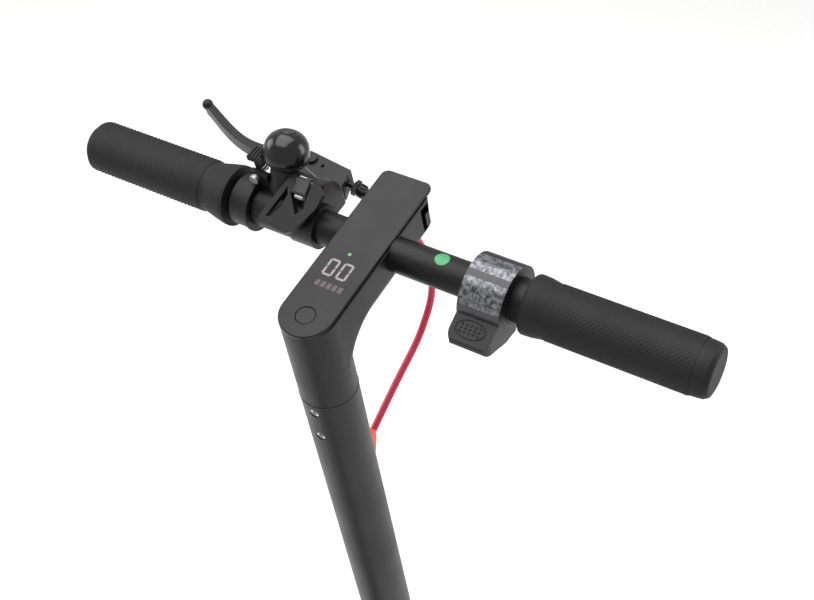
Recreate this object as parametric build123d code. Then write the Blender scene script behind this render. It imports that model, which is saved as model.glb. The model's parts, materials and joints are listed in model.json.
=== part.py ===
# Electric kick scooter: a folding two-wheeled scooter with a hub motor in the front wheel.
# Millimetres. +X forward, +Y to the rider's left, +Z up. The origin is on the ground, under
# the middle of the overall length. Each function makes one named piece of the scooter.
import os
from math import cos, pi, radians, sin, tan

from build123d import *

# ---- driving dimensions ------------------------------------------------------------------
wheelbase = 840.0
wheel_radius = 108.0
tyre_width = 50.0
tyre_flat = 18.0            # flat band around the crown of each tyre
rim_radius = 66.0
bar_height = 1080.0         # handlebar axis above the ground
head_lean = 12.5            # steering axis, leaning back from the vertical
panel_tilt = 16.0           # dash panel, rising towards the front
handlebar_length = 445.0
bar_radius = 11.1
bar_wall = 2.0
stem_radius = 18.75
stem_wall = 2.0
deck_width = 146.0
deck_depth = 48.0
deck_clearance = 87.0       # underside of the deck frame above the ground
deck_wall = 3.0
cable_radius = 2.5

# ---- running clearances ------------------------------------------------------------------
slip = 0.3                  # between curved faces that move past each other
bearing_fit = 0.05          # radial, a shaft in its bore

# ---- head, dash and handlebar, in the handlebar's own frame ------------------------------
arm_back = 65.75            # handlebar axis forward of the stem axis, along the panel
panel_top = 12.3
panel_thickness = 2.3
panel_width = 35.5
panel_front = 49.0
panel_rear_centre = -66.6
arm_bottom = -19.0
seam_drop = 59.0            # head sleeve's lower end below the stem and panel crossing
button_x = -68.8
button_radius = 6.2
button_travel = 0.8
grip_radius = 16.7
grip_left_start = 100.0
grip_right_start = -109.5
spacer_span = (82.0, 97.0)
bell_clamp_span = (52.0, 81.4)
bell_clamp_radius = 13.4
brake_clamp_span = (34.5, 51.5)
brake_clamp_radius = 14.4
throttle_span = (-101.3, -73.8)
throttle_radius = 22.3
throttle_middle = (-1.9, -0.7)   # ring's centre from the handlebar axis, forward and up
throttle_bore = 14.6        # outside of the hub that the paddle turns on
paddle_travel = 33.0
bell_y = 67.0
bell_angle = 61.6           # bell axis above the panel's forward direction
bell_centre = 40.9          # middle of the dome from the handlebar axis
bell_radius = 14.6
bell_skirt = 3.5
lever_plane = -4.5
lever_pivot = (44.5, 73.0)
lever_thickness = 6.4
lever_pin_radius = 2.5

# ---- steering column, measured along the steering axis up from the front axle ------------
crown_span = (122.0, 147.0)
head_tube_span = (158.0, 243.0)
head_tube_radius = 25.0
steerer_radius = 14.0
cup_height = 9.0
fold_base_span = (252.6, 296.0)
fold_block_radius = 25.5
hinge_pin = (-27.0, 291.0)  # forward of the steering axis, and along it
hinge_pin_radius = 4.0
knuckle_radius = 9.0
knuckle_half_width = 13.0
foot_top = 372.0
fold_lever_pivot = (32.0, 270.0)
fold_lever_top = 352.0

# ---- deck and rear end -------------------------------------------------------------------
deck_front_gap = 225.0      # front axle to the deck's front end
deck_rear_gap = 135.0       # rear axle to the deck's rear end
rail_inner = 46.0           # inner faces of the two rear rails
rail_thickness = 8.0
fender_gap = 8.0            # tyre to fender
fender_wall = 2.5
fender_width = 64.0
disc_y = 35.0
disc_thickness = 1.6
disc_radius = 55.0
axle_radius = 6.0

# ---- derived places ----------------------------------------------------------------------
light_angle = 160.0          # tail light's place on the rear fender, counted from +X over the top
light_depth = 11.0
light_top = 8.0
light_slope = radians(180.0 - light_angle)
fender_inner = wheel_radius + fender_gap
fender_outer = fender_inner + fender_wall
rear_reach = (fender_outer + light_depth) * cos(light_slope) + light_top * sin(light_slope)
front_x = (wheelbase + rear_reach - wheel_radius) / 2
rear_x = front_x - wheelbase
deck_front = front_x - deck_front_gap
deck_rear = rear_x + deck_rear_gap
deck_top = deck_clearance + deck_depth
lean_sin = sin(radians(head_lean))
lean_cos = cos(radians(head_lean))
tilt_sin = sin(radians(panel_tilt))
tilt_cos = cos(radians(panel_tilt))
steer = Plane(
    origin=(front_x, 0, wheel_radius), x_dir=(lean_cos, 0, lean_sin), z_dir=(-lean_sin, 0, lean_cos)
)
crossing_height = bar_height - arm_back * tilt_sin
stem_length = (crossing_height - wheel_radius) / lean_cos   # axle to the stem and panel crossing
bar_x = front_x - stem_length * lean_sin + arm_back * tilt_cos
cockpit = Plane(
    origin=(bar_x, 0, bar_height), x_dir=(tilt_cos, 0, tilt_sin), z_dir=(-tilt_sin, 0, tilt_cos)
)
front_hub = Pos(front_x, 0, wheel_radius)
rear_hub = Pos(rear_x, 0, wheel_radius)
seam = stem_length - seam_drop
stem_slope = radians(panel_tilt - head_lean)   # stem axis in the handlebar's frame
stem_in_cockpit = Plane(
    origin=(-arm_back, 0, 0),
    x_dir=(cos(stem_slope), 0, -sin(stem_slope)),
    z_dir=(sin(stem_slope), 0, cos(stem_slope)),
)
casting_top = panel_top - panel_thickness


# ---- shapes used by many pieces ----------------------------------------------------------
def rod_y(radius, y0, y1, x=0.0, z=0.0):
    """Cylinder along Y between two faces."""
    return Pos(x, (y0 + y1) / 2, z) * Rot(90, 0, 0) * Cylinder(radius, y1 - y0)


def tube_y(outer, inner, y0, y1, x=0.0, z=0.0):
    return rod_y(outer, y0, y1, x, z) - rod_y(inner, y0 - 1, y1 + 1, x, z)


def rod_z(radius, z0, z1, x=0.0, y=0.0):
    return Pos(x, y, (z0 + z1) / 2) * Cylinder(radius, z1 - z0)


def block(x0, x1, y0, y1, z0, z1):
    return Pos((x0 + x1) / 2, (y0 + y1) / 2, (z0 + z1) / 2) * Box(x1 - x0, y1 - y0, z1 - z0)


def slab(edges, y0, y1):
    """Side outline in X and Z, given as joined edges, pushed out along Y."""
    face = Face(Wire(edges))
    return extrude(Pos(0, y0, 0) * face, amount=y1 - y0, dir=(0, 1, 0))


def polygon(points, y0, y1):
    corners = [(x, 0, z) for x, z in points]
    return slab(Polyline(*corners, close=True).edges(), y0, y1)


def plate(points, z0, z1):
    """Plan outline in X and Y, pushed up along Z."""
    face = make_face(Polyline(*points, close=True))
    return extrude(Pos(0, 0, z0) * face, amount=z1 - z0, dir=(0, 0, 1))


def wedge(angle0, angle1, reach, y0, y1):
    """Slice of a disc about the Y axis, from one angle to another, counted from +X up to +Z."""
    steps = max(2, int((angle1 - angle0) / 40) + 1)
    step = (angle1 - angle0) / steps
    rim = reach / cos(radians(step / 2))
    turns = [radians(angle0 + step * i) for i in range(steps + 1)]
    return polygon([(0, 0)] + [(rim * cos(t), rim * sin(t)) for t in turns], y0, y1)


def arc_shell(outer, inner, angle0, angle1, y0, y1):
    return tube_y(outer, inner, y0, y1) & wedge(angle0, angle1, outer * 1.2, y0 - 1, y1 + 1)


def lathe_y(profile):
    """Turned shape about the Y axis, from points (radius, y)."""
    return revolve(make_face(Polyline(*profile, close=True)), Axis.Y)


def corner_radii(points):
    """The largest tangent arc at each corner of a cable's route."""
    route = [Vector(*p) for p in points]
    radii = []
    for before, here, after in zip(route, route[1:], route[2:]):
        turn = (here - before).get_angle(after - here)
        run = min((here - before).length, (after - here).length)
        radii.append(0.45 * run / tan(radians(turn / 2)))
    return radii


def cable_along(points, radius, name):
    radii = corner_radii(points)
    path = FilletPolyline(*points, radius=radii)
    section = Plane(origin=path @ 0, z_dir=path % 0) * Circle(radius)
    cable = sweep(section, path=path)
    share = cable.volume / (pi * radius**2 * path.length)
    print(name, "radii", [round(r) for r in radii], "volume share", round(share, 4))
    return cable


# ---- deck --------------------------------------------------------------------------------
neck_bend_radius = 160.0    # neck's middle line around the front wheel
neck_depth = 50.0
wheel_room = 130.0          # kept free around the front axle for the turning wheel and fender
crown_room = 52.0           # kept free around the steering axis for the turning crown


def neck_section(angle, rise):
    """Plane across the neck, at an angle round the front axle, facing up by rise."""
    turn = radians(angle)
    centre = (front_x + neck_bend_radius * cos(turn), 0, wheel_radius + neck_bend_radius * sin(turn))
    return Plane(origin=centre, z_dir=(cos(radians(rise)), 0, sin(radians(rise))), x_dir=(0, 1, 0))


def neck(shrink):
    """Neck from the deck's front end up to the head tube, smaller all round by shrink."""
    low = Plane(origin=(deck_front - 8, 0, deck_clearance + deck_depth / 2), z_dir=(1, 0, 0), x_dir=(0, 1, 0))
    tube_middle = (head_tube_span[0] + head_tube_span[1]) / 2
    top_point = steer.from_local_coords(Vector(-10 - 2 * shrink, 0, tube_middle))
    top = Plane(origin=top_point, z_dir=steer.x_dir, x_dir=(0, 1, 0))
    sections = [
        low * RectangleRounded(deck_width - 26 - 2 * shrink, deck_depth - 2 * shrink, 9),
        neck_section(171, 22) * RectangleRounded(88 - 2 * shrink, neck_depth - 2 * shrink, 9),
        neck_section(142, 55) * RectangleRounded(58 - 2 * shrink, neck_depth - 2 * shrink, 9),
        top * RectangleRounded(44 - 2 * shrink, head_tube_span[1] - head_tube_span[0] - 6 - 2 * shrink, 9),
    ]
    return loft(sections)


def rear_rail(side):
    """Rear rail that holds one end of the rear axle."""
    y0 = min(side * rail_inner, side * (rail_inner + rail_thickness))
    y1 = y0 + rail_thickness
    outline = [
        (deck_rear + 4, deck_clearance + 4),
        (deck_rear + 4, deck_top - 8),
        (rear_x + 30, wheel_radius + 17),
        (rear_x, wheel_radius + 17),
        (rear_x, wheel_radius - 17),
        (rear_x + 30, wheel_radius - 17),
    ]
    rail = polygon(outline, y0, y1) + rod_y(17, y0, y1, rear_x, wheel_radius)
    return rail - rod_y(axle_radius, y0 - 1, y1 + 1, rear_x, wheel_radius)


port_x = deck_front - 34.0
port_z = deck_clearance + deck_depth / 2
port_radius = 8.0
socket_bore = 6.5
cap_radius = 10.5
cap_hinge = (-deck_width / 2 - 3.4, port_z + cap_radius + 3.0)   # in Y and Z
stand_x = deck_front - 170.0


def deck_frame():
    length = deck_front - deck_rear
    shell = block(deck_rear, deck_front, -deck_width / 2, deck_width / 2, deck_clearance, deck_top)
    shell = fillet(shell.edges().filter_by(Axis.X), 9)
    shell = fillet(shell.edges().filter_by(Axis.Z), 5) if length > 60 else shell
    cavity = block(
        deck_rear + deck_wall, deck_front - deck_wall,
        -deck_width / 2 + 10, deck_width / 2 - 10, deck_clearance - 1, deck_top - deck_wall,
    )
    tube = steer * rod_z(head_tube_radius, *head_tube_span)
    column = steer * rod_z(steerer_radius + 3.2, head_tube_span[0] - 1, head_tube_span[1] + 1)
    wheel_cut = front_hub * rod_y(wheel_room, -deck_width, deck_width)
    crown_cut = steer * rod_z(crown_room, 0, head_tube_span[0] - cup_height)
    cup_cuts = steer * (
        rod_z(head_tube_radius + 4, head_tube_span[0] - 30, head_tube_span[0])
        + rod_z(head_tube_radius + 4, head_tube_span[1], head_tube_span[1] + 30)
    )
    frame = shell + neck(0) + tube - column - cavity - neck(3.5) - wheel_cut - crown_cut - cup_cuts
    frame += rear_rail(1) + rear_rail(-1)
    frame -= rod_y(port_radius, -deck_width / 2 - 1, -deck_width / 2 + 13, port_x, port_z)
    frame -= cable_exit()
    return frame


def cable_exit():
    """Bore through the deck's rear wall for the rear brake cable."""
    start = rear_cable_route()[0]
    return Pos(start[0] + 4, start[1], start[2]) * Rot(0, 90, 0) * Cylinder(cable_radius, 12)


def cover_screw_places():
    span = deck_front - deck_rear - 40
    xs = [deck_rear + 20 + span * i / 5 for i in range(6)]
    free = [(x, side) for x in xs for side in (-1, 1) if abs(x - stand_x) > 26 or side < 0]
    return [(x, side * (deck_width / 2 - 13)) for x, side in free]


def deck_bottom_cover():
    """Steel plate under the deck, and the button-head screws that hold it."""
    cover = block(
        deck_rear + 6, deck_front - 6,
        -deck_width / 2 + 6, deck_width / 2 - 6,
        deck_clearance - 2, deck_clearance,
    )
    cover = fillet(cover.edges().filter_by(Axis.Z), 8)
    heads = [rod_z(4, deck_clearance - 4, deck_clearance - 2, x, y) for x, y in cover_screw_places()]
    return Compound(children=[cover] + heads)


mat_inset = 9.0
mat_thickness = 3.0


def foot_mat():
    """Rubber mat with raised ribs along its length."""
    half = deck_width / 2 - mat_inset
    mat = block(deck_rear + 14, deck_front - 16, -half, half, deck_top, deck_top + mat_thickness - 1)
    mat = fillet(mat.edges().filter_by(Axis.Z), 20)
    ribs = int(half / 5)
    for i in range(-ribs + 1, ribs):
        rib = block(deck_rear + 34, deck_front - 36, -1.2, 1.2, deck_top + 1, deck_top + mat_thickness)
        mat += Pos(0, i * 5, 0) * rib
    return mat


def battery_pack():
    pack = block(
        deck_rear + 20, deck_front - 130, -deck_width / 2 + 14, deck_width / 2 - 14,
        deck_clearance, deck_top - deck_wall,
    )
    return fillet(pack.edges().filter_by(Axis.X), 5)


def controller_box():
    box = block(deck_front - 120, deck_front - 40, -34, 34, deck_clearance, deck_top - deck_wall)
    return chamfer(box.edges().filter_by(Axis.Z), 3)


def charge_port():
    """Socket set in the deck's right side, and the hinge of its flap."""
    face_y = -deck_width / 2
    socket = rod_y(port_radius, face_y - 1.5, face_y + 10, port_x, port_z)
    socket += rod_y(port_radius + 2.5, face_y - 1.5, face_y, port_x, port_z)
    socket -= rod_y(socket_bore, face_y - 2, face_y + 8, port_x, port_z)
    y, z = cap_hinge
    hinge = Pos(port_x, y, z) * Rot(0, 90, 0) * Cylinder(0.8, 14)
    for side in (-1, 1):
        ear_x = port_x + side * 5.6
        hinge += block(ear_x - 1.2, ear_x + 1.2, y - 1.8, face_y, z - 2, z + 2)
    return Compound(children=[socket, hinge])


def charge_cap():
    """Rubber flap over the socket, on a hinge above it."""
    face_y = -deck_width / 2 - 1.8
    flap = rod_y(cap_radius, face_y - 2.4, face_y, port_x, port_z)
    flap += block(port_x - 4, port_x + 4, face_y - 2.4, face_y, port_z + 7, cap_hinge[1])
    flap += Pos(port_x, *cap_hinge) * Rot(0, 90, 0) * Cylinder(1.8, 8)
    return flap - Pos(port_x, *cap_hinge) * Rot(0, 90, 0) * Cylinder(0.8 + bearing_fit, 10)


# ---- kickstand ---------------------------------------------------------------------------
stand_pivot = (stand_x, deck_clearance - 8.0)   # in X and Z
stand_y = deck_width / 2 + 7.0
stand_foot = (22.0, 15.0)                       # foot forward of, and outside, the pivot
stand_pin_radius = 4.0


def kickstand_bracket():
    x, z = stand_pivot
    lug = block(x - 16, x + 16, deck_width / 2 - 40, deck_width / 2 - 2, z - 8, deck_clearance - 2)
    lug = fillet(lug.edges().filter_by(Axis.Z), 4)
    pin = rod_y(stand_pin_radius, deck_width / 2 - 3, stand_y + 7, x, z)
    return lug + pin + rod_y(6.5, stand_y + 6.3, stand_y + 9, x, z)


def kickstand():
    x, z = stand_pivot
    boss = rod_y(9, stand_y - 8.6, stand_y + 6, x, z)
    foot = Vector(x + stand_foot[0], stand_y + stand_foot[1], 5.0)
    start = Vector(x, stand_y, z)
    leg_axis = foot - start
    leg = Plane(origin=start + leg_axis * 0.5, z_dir=leg_axis) * Cylinder(5.5, leg_axis.length)
    pad = Pos(foot.X, foot.Y, 4) * Cylinder(11, 8)
    pad = fillet(pad.edges(), 2)
    stand = boss + leg + pad - rod_y(7.5, stand_y + 6, stand_y + 20, x, z)
    return stand - rod_y(stand_pin_radius + bearing_fit, stand_y - 9, stand_y + 7, x, z)


# ---- rear wheel and brake ----------------------------------------------------------------
hub_bearing_radius = 14.0
hub_reach = 33.0            # hub's half width, out to the disc's seat


def rear_axle():
    reach = rail_inner + rail_thickness
    axle = rod_y(axle_radius, -reach - 11, reach + 11)
    spacers = [
        tube_y(10, axle_radius, hub_reach + 0.4, rail_inner),
        tube_y(10, axle_radius, -rail_inner, -hub_reach - 0.4),
    ]
    nuts = []
    for side in (-1, 1):
        nut = Pos(0, side * (reach + 4), 0) * Rot(90, 0, 0) * extrude(RegularPolygon(10, 6), 4, both=True)
        nuts.append(nut - rod_y(axle_radius, -reach - 20, reach + 20))
    return rear_hub * (axle + spacers[0] + spacers[1] + nuts[0] + nuts[1])


def axle_caps(reach, hub):
    """Plastic covers with a round reflector over the two axle nuts."""
    caps = []
    for side in (-1, 1):
        cap = rod_y(17, 0, 14) - rod_y(13, -1, 12)
        cap = fillet(cap.edges().sort_by(Axis.Y)[-1], 3)
        caps.append(hub * (Pos(0, side * reach, 0) * (cap if side > 0 else Rot(180, 0, 0) * cap)))
    return Compound(children=caps)


def rear_axle_caps():
    return axle_caps(rail_inner + rail_thickness, rear_hub)


def rear_bearings():
    rings = [
        tube_y(hub_bearing_radius, axle_radius + bearing_fit, 22, 31),
        tube_y(hub_bearing_radius, axle_radius + bearing_fit, -31, -22),
    ]
    return rear_hub * Compound(children=rings)


def rear_rim():
    """Cast rim with five windows between hub and rim."""
    rim_half = 21.0
    profile = [
        (rim_radius - 8, -rim_half), (rim_radius + 5, -rim_half), (rim_radius + 5, -rim_half + 3),
        (rim_radius, -rim_half + 4), (rim_radius, rim_half - 4), (rim_radius + 5, rim_half - 3),
        (rim_radius + 5, rim_half), (rim_radius - 8, rim_half),
    ]
    rim = lathe_y(profile)
    rim += tube_y(rim_radius - 6, 19, -6, 6)
    rim += tube_y(21, hub_bearing_radius, -hub_reach + 2, -9)
    rim += tube_y(21, hub_bearing_radius, 9, hub_reach - 2)
    rim += tube_y(21, axle_radius + 3, -9.5, 9.5)
    window = wedge(-26, 26, 54, -8, 8) & tube_y(53, 27, -8, 8)
    for i in range(5):
        rim -= Rot(0, 72 * i + 36, 0) * window
    rim += tube_y(24, 16.5, hub_reach - 6, disc_y - 0.0)
    return rear_hub * rim


def tyre(width):
    """Air tyre with a flat crown and rain grooves around it."""
    half = width / 2
    flat = tyre_flat / 2
    shoulder = wheel_radius - 11
    bead = rim_radius + 0.2
    outline = [
        Line((bead, -16.5), (bead + 5.2, -16.5)),
        Line((bead + 5.2, -16.5), (bead + 7.5, -21.2)),
        ThreePointArc((bead + 7.5, -21.2), ((bead + 7.5 + shoulder) / 2, -half), (shoulder, -half + 4)),
        ThreePointArc((shoulder, -half + 4), (wheel_radius - 3.2, -flat - 5.5), (wheel_radius, -flat)),
        Line((wheel_radius, -flat), (wheel_radius, flat)),
        ThreePointArc((wheel_radius, flat), (wheel_radius - 3.2, flat + 5.5), (shoulder, half - 4)),
        ThreePointArc((shoulder, half - 4), ((bead + 7.5 + shoulder) / 2, half), (bead + 7.5, 21.2)),
        Line((bead + 7.5, 21.2), (bead + 5.2, 16.5)),
        Line((bead + 5.2, 16.5), (bead, 16.5)),
        Line((bead, 16.5), (bead, -16.5)),
    ]
    body = revolve(Face(Wire(outline)), Axis.Y)
    air = revolve(make_face(Pos((rim_radius + wheel_radius) / 2 - 1, 0) * Ellipse(12, 13)), Axis.Y)
    body -= air
    for groove_y in (-5, 5):
        body -= tube_y(wheel_radius + 1, wheel_radius - 1.6, groove_y - 1, groove_y + 1)
    return body


def rear_tyre():
    return rear_hub * tyre(tyre_width)


def brake_disc():
    """Drilled steel disc and its three bolts."""
    disc = tube_y(disc_radius, 16.5, disc_y, disc_y + disc_thickness)
    for i in range(6):
        window = wedge(-17, 17, 45, disc_y - 1, disc_y + 3) & tube_y(39, 28, disc_y - 1, disc_y + 3)
        disc -= Rot(0, 60 * i, 0) * window
        disc -= Rot(0, 60 * i + 30, 0) * rod_y(2.5, disc_y - 1, disc_y + 3, 46, 0)
    for i in range(3):
        disc -= Rot(0, 120 * i, 0) * rod_y(2, disc_y - 1, disc_y + 3, 20.5, 0)
    bolts = []
    for i in range(3):
        bolt = rod_y(2, disc_y, disc_y + disc_thickness, 20.5, 0)
        bolt += rod_y(3.4, disc_y + disc_thickness, disc_y + disc_thickness + 2, 20.5, 0)
        bolts.append(Rot(0, 120 * i, 0) * bolt)
    return rear_hub * Compound(children=[disc] + bolts)


caliper_angle = 55.0
caliper_out = 52.0
caliper_turn = radians(caliper_angle)
caliper_at = (rear_x + caliper_out * cos(caliper_turn), wheel_radius + caliper_out * sin(caliper_turn))
caliper_outer = rail_inner - 0.8
arm_pin_radius = 3.0
arm_gap = 0.4


def brake_caliper():
    """Body that straddles the disc, with the lug bolted to the rail and the cable stop."""
    x, z = caliper_at
    inner = tyre_width / 2 + 2.6
    body = block(x - 17, x + 17, inner, caliper_outer, z - 14, z + 14)
    body = fillet(body.edges().filter_by(Axis.Y), 5)
    body -= rear_hub * rod_y(disc_radius + 1.5, disc_y - 1.2, disc_y + disc_thickness + 1.2)
    lug = block(x + 4, x + 17, disc_y + 4, rail_inner, wheel_radius + 4, z - 6)
    stop_x = x + 32
    stop = block(x + 10, stop_x + 4, disc_y + 4, caliper_outer, z + 4, z + 14)
    stop += block(stop_x - 4, stop_x + 4, disc_y + 4, 52, z + 5, z + 14)
    stop -= Plane(origin=rear_cable_route()[-1], z_dir=(1, 0, 0)) * Cylinder(1.2, 30)
    pin = rod_y(arm_pin_radius, caliper_outer - 1, 52, x, z + 4)
    pads = [
        block(x - 9, x + 9, disc_y - 1.2, disc_y - 0.3, z - 13, z + 1),
        block(x - 9, x + 9, disc_y + disc_thickness + 0.3, disc_y + disc_thickness + 1.2, z - 13, z + 1),
    ]
    return Compound(children=[body + lug + stop + pin] + pads)


arm_length = 24.0


def caliper_arm():
    """Arm that the cable pulls to close the brake."""
    x, z = caliper_at
    z += 4
    y0 = caliper_outer + arm_gap
    y1 = y0 + 3.4
    lean = radians(78)
    end = (x + arm_length * cos(lean), z + arm_length * sin(lean))
    side = (sin(lean), -cos(lean))
    outline = [
        (x - 5.5 * side[0], z - 5.5 * side[1]), (x + 5.5 * side[0], z + 5.5 * side[1]),
        (end[0] + 4 * side[0], end[1] + 4 * side[1]), (end[0] - 4 * side[0], end[1] - 4 * side[1]),
    ]
    arm = polygon(outline, y0, y1) + rod_y(6.5, y0, y1, x, z) + rod_y(4.5, y0, y1 + 3, end[0], end[1])
    return arm - rod_y(arm_pin_radius + bearing_fit, y0 - 1, y1 + 1, x, z)


def rear_cable_route():
    """Cable from the deck's rear wall, over the rail, to the stop on the caliper."""
    x, z = caliper_at
    stop = (x + 36, 48.5, z + 9.5)
    return [
        (deck_rear + 1, 48.5, deck_top - 4.4),
        (deck_rear - 14, 48.5, deck_top - 3.6),
        (deck_rear - 34, 48.5, deck_top + 6),
        (stop[0] + 22, 48.5, stop[2] - 1.2),
        stop,
    ]


def rear_cable():
    return cable_along(rear_cable_route(), cable_radius, "rear cable")


# ---- rear fender and light ---------------------------------------------------------------
rear_fender_span = (35.0, 168.0)


def fender(angle0, angle1, skirt):
    """Arched guard with a rim down each side."""
    half = fender_width / 2
    top = arc_shell(fender_outer, fender_inner, angle0, angle1, -half, half)
    left = arc_shell(fender_outer, fender_inner - skirt, angle0, angle1, half - fender_wall, half)
    right = arc_shell(fender_outer, fender_inner - skirt, angle0, angle1, -half, -half + fender_wall)
    return top + left + right


def rear_fender():
    start = radians(rear_fender_span[0])
    lip = (fender_inner * cos(start), fender_inner * sin(start))
    deck_edge = deck_rear - rear_x
    tongue = polygon(
        [
            (lip[0] - 3, lip[1] + 4), (lip[0] + 1, lip[1] - 1), (deck_edge + 1, deck_top - wheel_radius),
            (deck_edge + 12, deck_top - wheel_radius), (deck_edge + 12, deck_top - wheel_radius + 2.5),
            (deck_edge + 2, deck_top - wheel_radius + 3.5), (lip[0] + 3, lip[1] + 5),
        ],
        -24, 24,
    )
    return rear_hub * (fender(*rear_fender_span, 9) + tongue + tail_light_body())


hook_angle = 78.0
hook_height = 18.0


def fender_hook():
    """Catch on top of the rear fender that takes the handlebar's loop."""
    base = fender_outer
    hook = block(-9, 9, -5, 5, base - 0.4, base + 3) + block(-6, 0, -4, 4, base, base + hook_height)
    hook += polygon([(-6, base + hook_height), (9, base + hook_height), (9, base + hook_height - 7),
                     (5, base + hook_height - 4.5), (-2, base + hook_height - 4.5)], -4, 4)
    hook -= rod_y(fender_outer, -10, 10)
    return rear_hub * (Rot(0, 90 - hook_angle, 0) * hook)


def tail_light_body():
    """Housing moulded to the fender's rear end."""
    body = block(fender_outer - 1, fender_outer + 7, -22, 22, -9, 11)
    body = fillet(body.edges().filter_by(Axis.X), 5) - rod_y(fender_outer, -30, 30)
    return Rot(0, -light_angle, 0) * body


def tail_light_lens():
    lens = block(fender_outer + 7, fender_outer + light_depth, -18, 18, -6, light_top)
    lens = fillet(lens.edges().filter_by(Axis.X), 4)
    return rear_hub * (Rot(0, -light_angle, 0) * lens)


# ---- front wheel -------------------------------------------------------------------------
motor_half = 22.0
motor_axle_radius = 6.0


def motor_hub_shell():
    """Turned motor housing that is also the front rim, open on the left for its cover."""
    profile = [
        (motor_axle_radius + 8, -motor_half - 3), (22, -motor_half - 3), (26, -motor_half),
        (rim_radius - 4, -motor_half + 1), (rim_radius + 5, -motor_half + 1),
        (rim_radius + 5, -motor_half + 4),
        (rim_radius, -motor_half + 5), (rim_radius, motor_half - 5), (rim_radius + 5, motor_half - 4),
        (rim_radius + 5, motor_half - 1), (rim_radius - 5, motor_half - 1), (rim_radius - 5, -motor_half + 5),
        (motor_axle_radius + 8, -motor_half + 5),
    ]
    return front_hub * lathe_y(profile)


def motor_side_cover():
    """Cover plate on the motor's left side, held by eight screws."""
    profile = [
        (motor_axle_radius + 8, motor_half - 4), (rim_radius - 5, motor_half - 4),
        (rim_radius - 5, motor_half - 0.5),
        (28, motor_half + 1), (23, motor_half + 3), (motor_axle_radius + 8, motor_half + 3),
    ]
    cover = lathe_y(profile)
    for i in range(8):
        cover += Rot(0, 45 * i + 22.5, 0) * rod_y(3, motor_half - 1, motor_half + 2.2, 52, 0)
    return front_hub * cover


def motor_bearings():
    rings = [
        tube_y(motor_axle_radius + 8, motor_axle_radius + bearing_fit, motor_half - 5, motor_half + 2),
        tube_y(motor_axle_radius + 8, motor_axle_radius + bearing_fit, -motor_half - 2, -motor_half + 5),
    ]
    return front_hub * Compound(children=rings)


def motor_stator():
    """Wound core that stays still inside the turning shell."""
    core = tube_y(26, motor_axle_radius, -9, 9)
    for i in range(18):
        core += Rot(0, 20 * i, 0) * block(24, 53, -8, 8, -2.2, 2.2)
    core += tube_y(57, 52, -8, 8)
    return front_hub * core


def front_axle():
    reach = fork_inner + fork_thickness
    axle = rod_y(motor_axle_radius, -reach - 11, reach + 11)
    parts = [
        tube_y(10, motor_axle_radius, motor_half + 3.6, fork_inner),
        tube_y(10, motor_axle_radius, -fork_inner, -motor_half - 3.6),
    ]
    for side in (-1, 1):
        nut = Pos(0, side * (reach + 4), 0) * Rot(90, 0, 0) * extrude(RegularPolygon(10, 6), 4, both=True)
        parts.append(nut - rod_y(motor_axle_radius, -reach - 20, reach + 20))
    for piece in parts:
        axle += piece
    return front_hub * axle


def front_axle_caps():
    return axle_caps(fork_inner + fork_thickness, front_hub)


def front_tyre():
    return front_hub * tyre(tyre_width)


# ---- fork and headset --------------------------------------------------------------------
fork_inner = 36.0
fork_thickness = 8.0
fork_width = 34.0


def fork():
    """Fork legs, crown and steerer tube."""
    outer = fork_inner + fork_thickness
    crown = block(-21, 21, -outer, outer, *crown_span)
    crown = fillet(crown.edges().filter_by(Axis.Z), 8)
    fork_shape = crown
    for side in (-1, 1):
        y0 = min(side * fork_inner, side * outer)
        leg = block(-fork_width / 2, fork_width / 2, y0, y0 + fork_thickness, 0, crown_span[0] + 6)
        leg += rod_y(fork_width / 2, y0, y0 + fork_thickness)
        leg -= rod_y(motor_axle_radius, y0 - 1, y0 + fork_thickness + 1)
        fork_shape += leg
    fork_shape += rod_z(22, crown_span[1] - 1, head_tube_span[0] - cup_height - slip)
    fork_shape += rod_z(steerer_radius, crown_span[1], fold_base_span[0] + 20)
    fork_shape -= rod_z(steerer_radius - 3, crown_span[0] + 4, fold_base_span[0] + 30)
    return steer * fork_shape


def front_fender():
    guard = fender(48, 172, 9)
    pad = steer * block(-16, 16, -16, 16, fender_outer - 0.6, crown_span[0])
    pad -= front_hub * rod_y(fender_outer - 0.5, -20, 20)
    return front_hub * guard + pad


def headset_cups():
    """Bearing cups at both ends of the head tube."""
    low = head_tube_span[0]
    high = head_tube_span[1]
    cups = []
    for start in (low - cup_height, high):
        cup = rod_z(head_tube_radius + 0.8, start, start + cup_height)
        cup = chamfer(cup.edges(), 1.2)
        cups.append(steer * (cup - rod_z(steerer_radius + bearing_fit, start - 1, start + cup_height + 1)))
    return Compound(children=cups)


# ---- folding joint -----------------------------------------------------------------------
ear_y = (knuckle_half_width + 0.3, knuckle_half_width + 9.3)


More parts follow.
